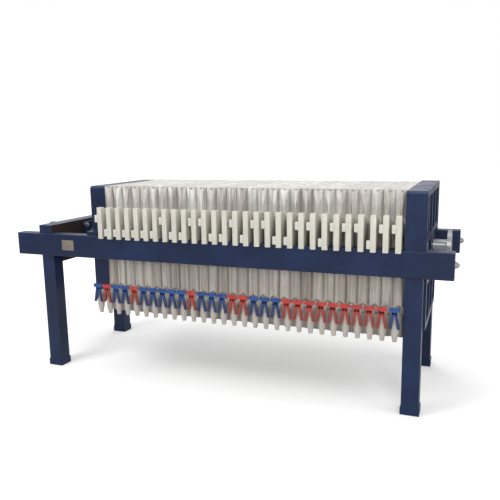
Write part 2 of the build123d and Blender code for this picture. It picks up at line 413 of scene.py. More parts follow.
def makePaint(name, base, patch):
    look = paintLook
    material, tree, shader = newMaterial(name)
    vector = objectVector(tree)
    mottle = placeGroup(tree, mottleGroup, vector, **{
        "Color": hexColor(base), "Patch Color": hexColor(patch), "Scale": look["scale"],
        "Amount": look["amount"], "Grain Scale": look["grainScale"]})
    dust = placeGroup(tree, dustGroup, vector, **{
        "Color": mottle.outputs["Color"], "Dust Color": hexColor(finishColors["paintDust"]),
        "Amount": look["dust"]})
    scratches = rangeNode(tree, noiseNode(tree, vector, *look["scratchNoise"]), *look["scratchRange"])
    color = mixNode(tree, mathNode(tree, "MULTIPLY", scratches, look["scratches"]),
                    dust.outputs["Color"], hexColor(finishColors["paintDust"]))
    tree.links.new(color, shader.inputs["Base Color"])
    rough = rangeNode(tree, mottle.outputs["Mask"], 0.0, 1.0, *look["rough"])
    dusty = mathNode(tree, "MULTIPLY", dust.outputs["Mask"], look["dustRough"])
    tree.links.new(mathNode(tree, "ADD", rough, dusty), shader.inputs["Roughness"])
    shader.inputs["Specular IOR Level"].default_value = look["specular"]
    bumpFrom(tree, shader, mottle.outputs["Height"], *look["bump"])
    return material


def makeSeatPaint(name):
    # The blue gives way to painted shade on the seat's inner face above the beams, a speckled dark brown
    # where the normal faces +X
    look = paintLook
    material, tree, shader = newMaterial(name)
    vector = objectVector(tree)
    blue = placeGroup(tree, mottleGroup, vector, **{
        "Color": hexColor(finishColors["paint"]), "Patch Color": hexColor(finishColors["paintPatch"]),
        "Scale": look["scale"], "Amount": look["amount"], "Grain Scale": look["grainScale"]})
    seatShadeMottle = placeGroup(tree, mottleGroup, vector, **{
        "Color": hexColor(finishColors["seatShade"]), "Patch Color": hexColor(finishColors["seatShadePatch"]),
        "Scale": look["seatShadeScale"], "Amount": look["seatShadeAmount"], "Grain Scale": look["grainScale"]})
    geometry = tree.nodes.new("ShaderNodeNewGeometry")
    facing = splitVector(tree, geometry.outputs["Normal"])["X"]
    shadedSide = rangeNode(tree, facing, *look["seatShadeFacing"])
    dust = placeGroup(tree, dustGroup, vector, **{
        "Color": mixNode(tree, shadedSide, blue.outputs["Color"], seatShadeMottle.outputs["Color"]),
        "Dust Color": hexColor(finishColors["paintDust"]), "Amount": look["dust"]})
    tree.links.new(dust.outputs["Color"], shader.inputs["Base Color"])
    tree.links.new(rangeNode(tree, shadedSide, 0.0, 1.0, *look["seatShadeRough"]), shader.inputs["Roughness"])
    shader.inputs["Specular IOR Level"].default_value = look["specular"]
    bumpFrom(tree, shader, seatShadeMottle.outputs["Height"], *look["bump"])
    return material


plasticLook = {
    "grainScale": 420.0,
    "lowToneZ": (0.440, 0.600),
    "lowTone": 0.75,
    "roughSpan": 0.12,
    "softRadius": (0.012, 0.011, 0.009),
    "softScale": 1.0,
    "bump": (0.15, 0.0004),
}


def makePlastic(name, base, patch, amount, gloss, soft, scale=9.0):
    look = plasticLook
    material, tree, shader = newMaterial(name)
    vector = objectVector(tree)
    mottle = placeGroup(tree, mottleGroup, vector, **{
        "Color": hexColor(base), "Patch Color": hexColor(patch), "Scale": scale, "Amount": amount,
        "Grain Scale": look["grainScale"]})
    # The lowest parts are duller and darker, fading out upwards
    lowTone = rangeNode(tree, splitVector(tree, vector)["Z"], *look["lowToneZ"], look["lowTone"], 0.0)
    color = mixNode(tree, lowTone, mottle.outputs["Color"], hexColor(finishColors["lowTone"]))
    tree.links.new(color, shader.inputs["Base Color"])
    tree.links.new(rangeNode(tree, mottle.outputs["Mask"], 0.0, 1.0, gloss, gloss + look["roughSpan"]),
                   shader.inputs["Roughness"])
    shader.inputs["Subsurface Weight"].default_value = soft
    shader.inputs["Subsurface Radius"].default_value = look["softRadius"]
    shader.inputs["Subsurface Scale"].default_value = look["softScale"]
    bumpFrom(tree, shader, mottle.outputs["Height"], *look["bump"])
    return material


leverLook = {
    "scale": 22.0,
    "amount": 0.55,
    "grainScale": 420.0,
    # Heights over which painted shade darkens the legs
    "legShadeZ": (0.500, 0.556),
    "legShade": 0.8,
    "rough": (0.34, 0.6),
    "soft": 0.03,
    "softRadius": (0.012, 0.011, 0.009),
    "bump": (0.15, 0.0004),
}


def makeLever(name, base, patch):
    # Painted shade darkens the legs, which are also duller than the bar
    look = leverLook
    material, tree, shader = newMaterial(name)
    vector = objectVector(tree)
    mottle = placeGroup(tree, mottleGroup, vector, **{
        "Color": hexColor(base), "Patch Color": hexColor(patch), "Scale": look["scale"],
        "Amount": look["amount"], "Grain Scale": look["grainScale"]})
    # Painted shade: the legs below the bar go dark
    legShade = rangeNode(tree, splitVector(tree, vector)["Z"], *look["legShadeZ"], look["legShade"], 0.0)
    color = mixNode(tree, legShade, mottle.outputs["Color"], hexColor(patch))
    tree.links.new(color, shader.inputs["Base Color"])
    tree.links.new(rangeNode(tree, legShade, 0.0, 1.0, *look["rough"]), shader.inputs["Roughness"])
    shader.inputs["Subsurface Weight"].default_value = look["soft"]
    shader.inputs["Subsurface Radius"].default_value = look["softRadius"]
    bumpFrom(tree, shader, mottle.outputs["Height"], *look["bump"])
    return material


# Heights are in metres above the floor, and the crease is as far from the cloth's middle as given
clothLook = {
    "thread": 0.0014,
    "threads": 0.22,
    # Heights where the hem's painted shade fades out
    "hemZ": (0.470, 0.555),
    "hem": 0.85,
    "scale": 7.0,
    "amount": 0.45,
    "grainScale": 500.0,
    # Narrow upright streaks of painted shade for the pleats
    "streakStretch": (62.0, 20.0, 1.1),
    "streakNoise": (1.0, 3.0, 0.6),
    "streakRange": (0.44, 0.62),
    "streaks": 0.5,
    "toneStretch": (15.0, 0.0, 0.4),
    "toneNoise": (1.0, 1.0, 0.5),
    "toneRange": (0.45, 0.6),
    "tones": 0.3,
    # Where the crease's painted shade starts, peaks and ends, and how dark it gets
    "creaseStart": 0.305,
    "creaseMiddle": 0.315,
    "creaseEnd": 0.334,
    "crease": 0.45,
    "dust": 0.75,
    "rough": 0.72,
    "sheen": 0.25,
    "sheenRough": 0.5,
    "bump": (0.5, 0.0003),
}


def makeCloth(name):
    look = clothLook
    material, tree, shader = newMaterial(name)
    uv = tree.nodes.new("ShaderNodeUVMap")
    uv.uv_map = "flat"
    weave = placeGroup(tree, weaveGroup, uv.outputs["UV"], **{"Thread": look["thread"]})
    vector = objectVector(tree)
    height = splitVector(tree, vector)["Z"]
    # Painted light makes the cloth paler above the beams
    litUpper = rangeNode(tree, height, beamLow[2], beamHigh[2])
    ground = mixNode(tree, litUpper, hexColor(finishColors["cloth"]), hexColor(finishColors["clothLitUpper"]))
    # Painted shade darkens the cloth where it hangs past the taps
    hem = rangeNode(tree, height, *look["hemZ"], look["hem"], 0.0)
    ground = mixNode(tree, hem, ground, hexColor(finishColors["clothShade"]))
    mottle = placeGroup(tree, mottleGroup, vector, **{
        "Color": ground, "Patch Color": hexColor(finishColors["clothPatch"]),
        "Scale": look["scale"], "Amount": look["amount"], "Grain Scale": look["grainScale"]})
    # Narrow upright streaks are painted shade for the pleats' light and dark strips
    narrow = stretchedVector(tree, vector, look["streakStretch"])
    streaks = rangeNode(tree, noiseNode(tree, narrow, *look["streakNoise"]), *look["streakRange"])
    # Some cloths are darker than their neighbours
    wide = stretchedVector(tree, vector, look["toneStretch"])
    tones = rangeNode(tree, noiseNode(tree, wide, *look["toneNoise"]), *look["toneRange"])
    # The streaks' painted shade and the cloths' own tones darken towards one colour
    streakShadeAndTone = mathNode(tree, "ADD", mathNode(tree, "MULTIPLY", streaks, look["streaks"]),
                    mathNode(tree, "MULTIPLY", tones, look["tones"]))
    streaked = mixNode(tree, streakShadeAndTone, mottle.outputs["Color"], hexColor(finishColors["clothShadeAndTone"]))
    # Painted shade darkens the crease where a flap leaves the plate's edge
    fromMiddle = mathNode(tree, "ABSOLUTE", splitVector(tree, uv.outputs["UV"])["X"])
    crease = mathNode(
        tree, "MULTIPLY", rangeNode(tree, fromMiddle, look["creaseStart"], look["creaseMiddle"]),
        rangeNode(tree, fromMiddle, look["creaseMiddle"], look["creaseEnd"], look["crease"], 0.0))
    creaseShaded = mixNode(tree, crease, streaked, hexColor(finishColors["clothShade"]))
    dust = placeGroup(tree, dustGroup, vector, **{
        "Color": creaseShaded, "Dust Color": hexColor(finishColors["clothPatch"]), "Amount": look["dust"]})
    threads = mathNode(tree, "MULTIPLY", mathNode(tree, "SUBTRACT", 1.0, weave.outputs["Mask"]),
                       look["threads"])
    color = mixNode(tree, threads, dust.outputs["Color"], hexColor(finishColors["clothPatch"]))
    tree.links.new(color, shader.inputs["Base Color"])
    shader.inputs["Roughness"].default_value = look["rough"]
    shader.inputs["Sheen Weight"].default_value = look["sheen"]
    shader.inputs["Sheen Roughness"].default_value = look["sheenRough"]
    bumpFrom(tree, shader, weave.outputs["Height"], *look["bump"])
    return material


metalLook = {
    "noise": (120.0, 5.0, 0.7),
    "shadeRange": (0.3, 0.75),
    "shade": 0.72,
    "roughRange": (0.3, 0.7),
    "roughSpan": 0.15,
    "bump": (0.1, 0.0002),
}


def makeMetal(name, base, rough, stretch=(1, 1, 1)):
    look = metalLook
    material, tree, shader = newMaterial(name)
    streaks = noiseNode(tree, stretchedVector(tree, objectVector(tree), stretch), *look["noise"])
    shaded = tuple(part * look["shade"] for part in hexColor(base)[:3]) + (1.0,)
    color = mixNode(tree, rangeNode(tree, streaks, *look["shadeRange"]), hexColor(base), shaded)
    tree.links.new(color, shader.inputs["Base Color"])
    tree.links.new(rangeNode(tree, streaks, *look["roughRange"], rough, rough + look["roughSpan"]),
                   shader.inputs["Roughness"])
    shader.inputs["Metallic"].default_value = 1.0
    bumpFrom(tree, shader, streaks, *look["bump"])
    return material


paint = makePaint("bluePaint", finishColors["paint"], finishColors["paintPatch"])
seatPaint = makeSeatPaint("seatPaint")
plastic = makePlastic("platePlastic", finishColors["plastic"], finishColors["plasticPatch"],
                      amount=0.55, gloss=0.36, soft=0.5)
leverBlue = makeLever("leverBlue", finishColors["leverBlue"], finishColors["leverBluePatch"])
leverRed = makeLever("leverRed", finishColors["leverRed"], finishColors["leverRedPatch"])
cloth = makeCloth("filterCloth")
steel = makeMetal("zincSteel", finishColors["steel"], rough=0.38)
brushed = makeMetal("brushedSteel", finishColors["steel"], rough=0.3, stretch=(1, 8, 8))
chrome = makeMetal("hardChrome", finishColors["chrome"], rough=0.08, stretch=(1, 12, 12))
plateMetal = makeMetal("ratingPlateMetal", finishColors["plate"], rough=0.5, stretch=(1, 1, 8))
# Painted shade for the dark blocks on the plates' top edges
dark = makePlastic("paintedShadeBlock", finishColors["dark"], finishColors["darkPatch"],
                   amount=0.5, gloss=0.45, soft=0.0)
print("finishes made")

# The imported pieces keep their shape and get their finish
nodeFinish = {
    "near_beam": paint, "far_beam": paint, "cylinder_seat": seatPaint, "hydraulic_cylinder": paint,
    "thrust_head": paint, "press_head": paint, "near_left_leg": paint, "far_left_leg": paint,
    "near_right_leg": paint, "far_right_leg": paint, "ram": chrome, "feed_inlet": brushed,
}
for name, finish in nodeFinish.items():
    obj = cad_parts[name]
    for slot in obj.material_slots:
        slot.material = finish
    if not obj.material_slots:
        obj.data.materials.append(finish)

# Bolts, nuts, weld beads and the bare rating plate
fittingShape = {
    "ratingX": (-0.914, -0.830),
    "ratingZ": (0.745, 0.806),
    "ratingThick": 0.0014,
    "ratingRound": 0.0005,
    "rivet": 0.0026,
    "rivetTip": 0.6,
    "rivetIn": 0.006,
    "rivetHeight": 0.0022,
    "endNut": 0.021,
    "endNutZ": 0.777,
    "endNutIn": 0.037,
    "cylinderZ": 0.773,
    "flangeBolt": 0.018,
    "flangeBoltAt": 0.080,
    "capBolt": 0.010,
    "capBoltCircle": 0.060,
    "capBolts": 8,
    "glandRing": ((0.0432, 0.0), (0.0600, 0.0), (0.0600, 0.0045), (0.0585, 0.0060), (0.0445, 0.0060),
                  (0.0432, 0.0045), (0.0432, 0.0)),
    "glandSides": 32,
    "ramFlange": 0.015,
    "ramBolt": 0.008,
    "ramBoltCircle": 0.064,
    "ramBolts": 6,
    "bead": 0.0045,
    "beadStep": 1.6,
    "beadStretch": (1.25, 0.8),
    "footZ": 0.040,
    "footMargin": 0.004,
    "inletZ": 0.808,
    "inletWeld": 0.033,
    "inletBeads": 24,
}


def finishFitting(bm, name, body, finishes):
    piece = newObject(name, meshFrom(bm, name))
    for finish in finishes:
        piece.data.materials.append(finish)
    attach(piece, body)
    return piece


def circlePlaces(x, middleZ, circle, count, turn=0.5):
    return [(x, circle * math.cos(math.tau * (step + turn) / count),
             middleZ + circle * math.sin(math.tau * (step + turn) / count)) for step in range(count)]


def addBead(bm, middle, radius, stretch=(1, 1, 1)):
    made = bmesh.ops.create_icosphere(bm, subdivisions=1, radius=radius)
    bmesh.ops.scale(bm, vec=stretch, verts=made["verts"])
    bmesh.ops.translate(bm, vec=Vector(middle), verts=made["verts"])


def addWeld(bm, start, end):
    # A run of small overlapping ripples
    start = Vector(start)
    along = Vector(end) - start
    radius = fittingShape["bead"]
    longer, shorter = fittingShape["beadStretch"]
    stretch = [longer if abs(part) > 0.5 else shorter for part in along.normalized()]
    count = max(2, round(along.length / (radius * fittingShape["beadStep"])))
    for step in range(count):
        addBead(bm, start + along * (step + 0.5) / count, radius, stretch)


def makeRatingPlate():
    shape = fittingShape
    bm = bmesh.new()
    (startX, endX), (lowZ, highZ) = shape["ratingX"], shape["ratingZ"]
    y = beamLow[1] - shape["ratingThick"] / 2
    addBlock(bm, ((startX + endX) / 2, y, (lowZ + highZ) / 2),
             (endX - startX, shape["ratingThick"], highZ - lowZ), round=shape["ratingRound"])
    for x in (startX + shape["rivetIn"], endX - shape["rivetIn"]):
        for z in (lowZ + shape["rivetIn"], highZ - shape["rivetIn"]):
            addRod(bm, (x, y, z), (x, y - shape["rivetHeight"], z), shape["rivet"],
                   tip=shape["rivet"] * shape["rivetTip"], slot=1)
    finishFitting(bm, "ratingPlate", "frame", (plateMetal, steel))


def makeFrameBolts():
    shape = fittingShape
    bm = bmesh.new()
    axisZ = shape["cylinderZ"]
    for side in (1, -1):
        y = side * (farHigh[1] - shape["endNutIn"])
        addHexBolt(bm, (beamHigh[0], y, shape["endNutZ"]), (1, 0, 0), shape["endNut"])
        addHexBolt(bm, (beamLow[0], y, shape["endNutZ"]), (-1, 0, 0), shape["endNut"])
        for up in (1, -1):
            at = (cylinderHigh[0], side * shape["flangeBoltAt"], axisZ + up * shape["flangeBoltAt"])
            addHexBolt(bm, at, (1, 0, 0), shape["flangeBolt"])
    for at in circlePlaces(cylinderLow[0], axisZ, shape["capBoltCircle"], shape["capBolts"]):
        addHexBolt(bm, at, (-1, 0, 0), shape["capBolt"])
    place = Matrix.Translation((cylinderHigh[0], 0, axisZ)) @ Matrix.Rotation(math.pi / 2, 4, "Y")
    addLathe(bm, shape["glandRing"], place, sides=shape["glandSides"])
    finishFitting(bm, "frameBolts", "frame", (steel,))


def makeRamBolts():
    shape = fittingShape
    bm = bmesh.new()
    for at in circlePlaces(headLow[0] - shape["ramFlange"], shape["cylinderZ"], shape["ramBoltCircle"],
                           shape["ramBolts"]):
        addHexBolt(bm, at, (-1, 0, 0), shape["ramBolt"])
    finishFitting(bm, "ramBolts", "head", (steel,))


def makeWeldBeads():
    shape = fittingShape
    bm = bmesh.new()
    bead = shape["bead"]
    margin = shape["footMargin"]
    beamTop = beamHigh[2]
    for legName in ("near_left_leg", "far_left_leg", "near_right_leg", "far_right_leg"):
        low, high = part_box(legName)
        x1, y1, x2, y2 = low[0] + margin, low[1] + margin, high[0] - margin, high[1] - margin
        corners = [(x1, y1), (x2, y1), (x2, y2), (x1, y2)]
        for z in (high[2], shape["footZ"]):
            for start, end in zip(corners, corners[1:] + corners[:1]):
                addWeld(bm, (*start, z), (*end, z))
    for low, high in ((seatLow, seatHigh), (thrustLow, thrustHigh)):
        for side in (1, -1):
            inner = side * (-beamHigh[1] + bead)
            outer = side * (high[1] - bead)
            for x in (low[0], high[0]):
                addWeld(bm, (x, inner, beamTop), (x, outer, beamTop))
            addWeld(bm, (low[0] + bead, side * high[1], beamTop), (high[0] - bead, side * high[1], beamTop))
    for at in circlePlaces(thrustHigh[0], shape["inletZ"], shape["inletWeld"], shape["inletBeads"], turn=0):
        addBead(bm, at, bead)
    finishFitting(bm, "weldBeads", "frame", (paint,))


makeRatingPlate()
makeFrameBolts()
makeRamBolts()
makeWeldBeads()
print("bolts, welds and rating plate made")

# Filter plates
plateShape = {
    "size": 0.630,
    "halfThick": 0.0288,
    "rim": 0.040,
    "recess": 0.0148,
    "edgeRound": 0.002,
    "earThick": 0.028,
    "earShift": 0.002,
    "earRound": 0.0028,
    "earRise": 0.170,
    "earHook": 0.012,
    "earOuter": 0.434,
    "earTop": 0.034,
    "earRoot": 0.112,
    "earOverlap": 0.006,
    "hookGap": 0.001,
    "nubSize": (0.018, 0.020, 0.042),
    "nubOverlap": 0.003,
    "nubHigh": 0.084,
    "nubLow": 0.004,
    "nubRound": 0.0025,
    "lowPlates": (2, 3, 4, 5, 6, 7, 9, 10, 13, 14, 16, 19, 20, 23, 27),
    "middleUnderBeamTop": 0.032,
    # Place and size of the dark painted shade blocks on the top edge
    "shadeBlockX": 0.004,
    "shadeBlockOut": 0.012,
    "shadeBlockUnder": 0.006,
    "shadeBlockSize": (0.010, 0.010, 0.008),
    "shadeBlockRound": 0.002,
}
tapShape = {
    "rise": 0.024,
    "y": 0.458,
    "nippleRadius": 0.0105,
    "nippleSides": 14,
    "overlap": 0.004,
    "nutRadius": 0.019,
    "nutLength": 0.014,
    "collarRadius": 0.015,
    "collarSides": 16,
    "collarLength": 0.010,
    "spout": ((0.0, 0.0150), (0.0090, 0.0146), (0.0128, 0.0120), (0.0136, 0.0070), (0.0136, -0.0240),
              (0.0152, -0.0262), (0.0176, -0.0320), (0.0190, -0.0420), (0.0192, -0.0640),
              (0.0184, -0.0740), (0.0168, -0.0840), (0.0150, -0.0930), (0.0128, -0.0980),
              (0.0116, -0.1150), (0.0100, -0.1180), (0.0076, -0.1172), (0.0068, -0.0980),
              (0.0, -0.0980)),
    "collarStop": 0.018,
    "collarEnd": 0.006,
    "sides": 20,
}
leverShape = {
    "y": 0.4765,
    "thick": 0.0098,
    "barTop": 0.058,
    "barHeight": 0.020,
    "barWidth": 0.055,
    "barEnd": 0.005,
    "barThin": 0.8,
    "barLift": 0.001,
    "barTrim": 0.003,
    "lobeRadius": 0.0104,
    "lobeSides": 16,
    "legWidth": 0.0145,
    "legSpread": 0.0215,
    "legDrop": 0.052,
    "legStart": (0.005, 0.006),
    "footLift": 0.004,
    "hubDrop": 0.012,
    "pinRadius": 0.0057,
    "pinOut": 0.007,
    "pinSides": 10,
    "round": 0.0026,
}
# Plates with red levers, counted from 0
leverReds = (1, 4, 10, 14, 15, 19, 20, 21, 22, 23, 24, 25, 26, 27)
plateZ = beamHigh[2] - plateShape["middleUnderBeamTop"]
tapZ = plateZ - plateShape["size"] / 2 + tapShape["rise"]


def addTap(bm, side):
    shape = tapShape
    spoutY = shape["y"]
    start = plateShape["size"] / 2 - shape["overlap"]
    nutEnd = start + shape["overlap"] + shape["nutLength"]
    collar = spoutY - shape["collarStop"] - shape["collarLength"]
    for near, far, radius, sides in (
            (start, spoutY, shape["nippleRadius"], shape["nippleSides"]),
            (start, nutEnd, shape["nutRadius"], 6),
            (collar, spoutY - shape["collarEnd"], shape["collarRadius"], shape["collarSides"])):
        addRod(bm, (0, side * near, tapZ), (0, side * far, tapZ), radius, sides=sides)
    addLathe(bm, shape["spout"], Matrix.Translation((0, side * spoutY, tapZ)), sides=shape["sides"])


def plateMesh(low):
    shape = plateShape
    bm = bmesh.new()
    half = shape["size"] / 2
    addBlock(bm, (0, 0, plateZ), (2 * shape["halfThick"], shape["size"], shape["size"]),
             round=shape["edgeRound"])
    # The face inside the rim goes down to the recess
    bm.faces.ensure_lookup_table()
    for side in (1, -1):
        face = max(bm.faces, key=lambda f: side * f.calc_center_median().x + f.calc_area())
        bmesh.ops.inset_region(bm, faces=[face], thickness=shape["rim"] - shape["edgeRound"], depth=0.0)
        bmesh.ops.inset_region(bm, faces=[face], thickness=shape["recess"], depth=-shape["recess"])
    beamTop = beamHigh[2]
    outer = shape["earOuter"]
    hookY = farHigh[1] + shape["hookGap"]
    root = half - shape["earOverlap"]
    for side in (1, -1):
        outline = [
            (root, beamTop),
            (hookY, beamTop),
            (hookY, beamTop - shape["earHook"]),
            (outer, beamTop - shape["earHook"]),
            (outer, beamTop + shape["earRise"]),
            (outer - shape["earTop"], beamTop + shape["earRise"]),
            (root, beamTop + shape["earRoot"]),
        ]
        addPlateShape(bm, [(side * y, z) for y, z in outline], shape["earShift"], shape["earThick"],
                      shape["earRound"])
        rise = shape["nubLow"] if low else shape["nubHigh"]
        sizeX, sizeY, sizeZ = shape["nubSize"]
        nubX = shape["earShift"] - shape["earThick"] / 2 - sizeX / 2 + shape["nubOverlap"] / 2
        addBlock(bm, (nubX, side * (outer - sizeY / 2), beamTop + rise + sizeZ / 2),
                 (sizeX + shape["nubOverlap"], sizeY, sizeZ), round=shape["nubRound"])
        addTap(bm, side)
        # A dark block at each end of the plate's top edge is painted shade
        shadeBlockPlace = (shape["shadeBlockX"], side * (half + shape["shadeBlockOut"]), plateZ + half - shape["shadeBlockUnder"])
        addBlock(bm, shadeBlockPlace, shape["shadeBlockSize"], round=shape["shadeBlockRound"], slot=1)
    return meshFrom(bm, "plateShape")


def leverMesh():
    shape = leverShape
    bm = bmesh.new()
    thick, edge = shape["thick"], shape["round"]
    top = tapZ + shape["barTop"]
    middle = top - shape["barHeight"] / 2
    hubZ = top - shape["barHeight"] - shape["hubDrop"] / 2
    pinZ = hubZ - shape["hubDrop"]
    startX, startUp = shape["legStart"]
    for side in (1, -1):
        y = side * (shape["y"] + thick / 2)
        barSize = (shape["barWidth"] - 2 * shape["barEnd"], thick * shape["barThin"],
                   shape["barHeight"] - shape["barTrim"])
        addBlock(bm, (0, y, middle + shape["barLift"]), barSize, round=edge)
        for end in (1, -1):
            lobeX = end * (shape["barWidth"] / 2 - shape["lobeRadius"])
            addRod(bm, (lobeX, y - thick / 2, middle), (lobeX, y + thick / 2, middle),
                   shape["lobeRadius"], sides=shape["lobeSides"])
        addBlock(bm, (0, y, hubZ), (2 * shape["legWidth"], thick, 2 * shape["hubDrop"]), round=edge)
        addRod(bm, (0, side * tapShape["y"], pinZ), (0, y + side * shape["pinOut"], pinZ),
               shape["pinRadius"], sides=shape["pinSides"])
        for end in (1, -1):
            start = Vector((end * startX, y, hubZ + startUp))
            foot = Vector((end * shape["legSpread"], y, tapZ - shape["legDrop"] + shape["footLift"]))
            along = foot - start
            turn = Matrix.Rotation(math.atan2(along.x, along.z), 4, "Y")
            addBlock(bm, (start + foot) / 2, (shape["legWidth"], thick, along.length),
                     turn=turn, round=edge)
    return meshFrom(bm, "leverShape")


def placedCopy(mesh, name, x):
    copy = mesh.copy()
    copy.name = name
    copy.transform(Matrix.Translation((x, 0, 0)))
    return newObject(name, copy)


# Filter cloths, one folded over the top of each plate
clothShape = {
    "outer": 0.02985,
    "thick": 0.0007,
    "flap": 0.054,
    "hang": 0.113,
    "topGap": 0.0015,
    "eye": 0.040,
    "panelRows": 54,
    "topRows": 6,
    "topStep": 0.01,
    "seamInset": 0.012,
    "hemNarrow": 0.015,
    "hemCalm": 0.4,
    "swellDrift": 0.3,
    "pinchShare": 0.22,
    "roundness": 0.8,
    "cornerHeight": 0.03,
    "cornerDrop": 0.6,
    "seamDrift": 0.005,
    "hemWave": 0.004,
    "crease": 0.0008,
    "pleat": 0.0045,
    "pleatTurns": 1.6,
    "pleatDrift": 1.5,
    "pleatLeast": 0.8,
    "flapColumns": 18,
    # Heights over the ear's root where the lie of a flap changes, and the stretches at ear and tap
    "overEar": (0.0, 0.05),
    "nearTop": (0.07, 0.15),
    "atEar": (-0.004, 0.022, 0.022),
    "atTap": (-0.012, 0.012, 0.016),
    # How a side flap lies: reach along X, swell, share of the arch and pinch, front flap then back flap
    "foldTop": ((-0.0240, 0.0170, 0.93, 0.06), (0.0100, 0.0035, 0.90, 0.0)),
    "foldOverEar": ((-0.0120, 0.0195, 0.93, 0.70), (0.0060, 0.0040, 0.90, 0.66)),
    "foldAtEar": ((0.0185, 0.0125, 0.86, 0.0), (-0.0145, 0.0125, 0.86, 0.0)),
    "foldLow": ((-0.0060, 0.0165, 0.87, 0.10), (0.0050, 0.0120, 0.96, 0.10)),
    "foldAtTap": ((0.0215, 0.0130, 0.86, 0.0), (-0.0215, 0.0130, 0.86, 0.0)),
}


def smooth(value, low, high):
    t = min(1.0, max(0.0, (value - low) / (high - low)))
    return t * t * (3 - 2 * t)


def between(value, low, high, soft):
    return smooth(value, low - soft, low) * (1 - smooth(value, high, high + soft))


def mixed(first, second, share):
    return [a * (1 - share) + b * share for a, b in zip(first, second)]


def clothColumns():
    half = plateShape["size"] / 2
    mouth = half - plateShape["rim"]
    bottom = mouth - plateShape["recess"]
    inner = [clothShape["eye"], bottom * 0.5, bottom, mouth, half - clothShape["seamInset"], half]
    flaps = [half + clothShape["flap"] * step / clothShape["flapColumns"]
             for step in range(1, clothShape["flapColumns"] + 1)]
    right = inner + flaps
    return [-y for y in reversed(right)] + right


def clothRows():
    # Heights from the hem to the top, with rows where the recess and the feed eye begin
    half = plateShape["size"] / 2
    hem = plateZ - half - clothShape["hang"]
    top = plateZ + half
    count = clothShape["panelRows"]
    rows = [hem + (top - hem) * step / count for step in range(count + 1)]
    mouth = half - plateShape["rim"]
    for wanted in (mouth, mouth - plateShape["recess"], clothShape["eye"]):
        for sign in (1, -1):
            z = plateZ + sign * wanted
            nearest = min(range(len(rows)), key=lambda i: abs(rows[i] - z))
            rows[nearest] = z
    return rows


def foldAt(face, z):
    # The lie of a flap at a height, blended between the stretches over, at and below the ear
    shape = clothShape
    flap = 0 if face > 0 else 1
    earTop = beamHigh[2] + plateShape["earRoot"]
    earLow, earHigh, earSoft = shape["atEar"]
    tapLow, tapHigh, tapSoft = shape["atTap"]
    overEar, nearTop = (smooth(z, earTop + low, earTop + high)
                        for low, high in (shape["overEar"], shape["nearTop"]))
    atEar = between(z, beamHigh[2] + earLow, earTop + earHigh, earSoft)
    atTap = between(z, tapZ + tapLow, tapZ + tapHigh, tapSoft)
    fold = mixed(shape["foldLow"][flap], shape["foldOverEar"][flap], overEar)
    fold = mixed(fold, shape["foldTop"][flap], nearTop)
    fold = mixed(fold, shape["foldAtEar"][flap], atEar)
    return mixed(fold, shape["foldAtTap"][flap], atTap)


def panelPoint(face, z, v, seed):
    # A point on one side of the plate; face is 1 on the front, -1 on the back
    shape = clothShape
    half = plateShape["size"] / 2
    top = plateZ + half
    side = 1 if v >= 0 else -1
    over = abs(v) - half
    below = smooth(plateZ - half - z, 0.0, shape["hang"])
    x = face * shape["outer"]
    if over <= 0:
        mouth = half - plateShape["rim"]
        deep = mouth - plateShape["recess"]
        inward = min(1.0, max(0.0, (mouth - abs(v)) / (mouth - deep)))
        inward = min(inward, min(1.0, max(0.0, (mouth - abs(z - plateZ)) / (mouth - deep))))
        x -= face * inward * plateShape["recess"]
        drop = below * shape["hemWave"] * noise.noise(Vector((seed, v * 7, face)))
        return Vector((x, v * (1 - shape["hemNarrow"] * below), z - drop))
    share = over / shape["flap"]
    reach, swell, arch, pinch = foldAt(face, z)
    reach += shape["seamDrift"] * noise.noise(Vector((seed, 11.0, z * 4.0)))
    drift = shape["swellDrift"] * noise.noise(Vector((seed, face * 5, z * 6)))
    swell *= (1 + drift) * (1 - shape["hemCalm"] * below)
    x += (reach - x) * (1 - math.cos(math.pi * share)) / 2
    x *= 1 - pinch * smooth(share, 0.0, shape["pinchShare"])
    y = swell * math.sin(math.pi * arch * share) ** shape["roundness"]
    y += shape["crease"] * noise.noise(Vector((seed + 9, z * 30, share * 3)))
    turns = shape["pleatTurns"] * share
    turns += shape["pleatDrift"] * noise.noise(Vector((seed, face * 3.1, z * 1.4)))
    deep = shape["pleat"] * (shape["pleatLeast"] + noise.noise(Vector((seed + 4, face * 2.3, z * 2.0))))
    y += deep * math.sin(math.tau * turns) * math.sin(math.pi * share)
    corner = smooth(z, top - shape["cornerHeight"], top)
    return Vector((x, side * (half + y), z - shape["cornerDrop"] * corner * y))


def clothPoint(face, z, v, plateNumber, topShare):
    # topShare runs 0 to 1 over the plate's top edge, and is None on the two sides
    half = plateShape["size"] / 2
    seed = plateNumber * 7.31 + (3.7 if v >= 0 else -3.7)
    if topShare is None:
        return panelPoint(face, z, v, seed)
    front = panelPoint(1, plateZ + half, v, seed)
    back = panelPoint(-1, plateZ + half, v, seed)
    point = front.lerp(back, (1 - math.cos(math.pi * topShare)) / 2)
    point.z += clothShape["topGap"] * math.sin(math.pi * topShare)
    return point


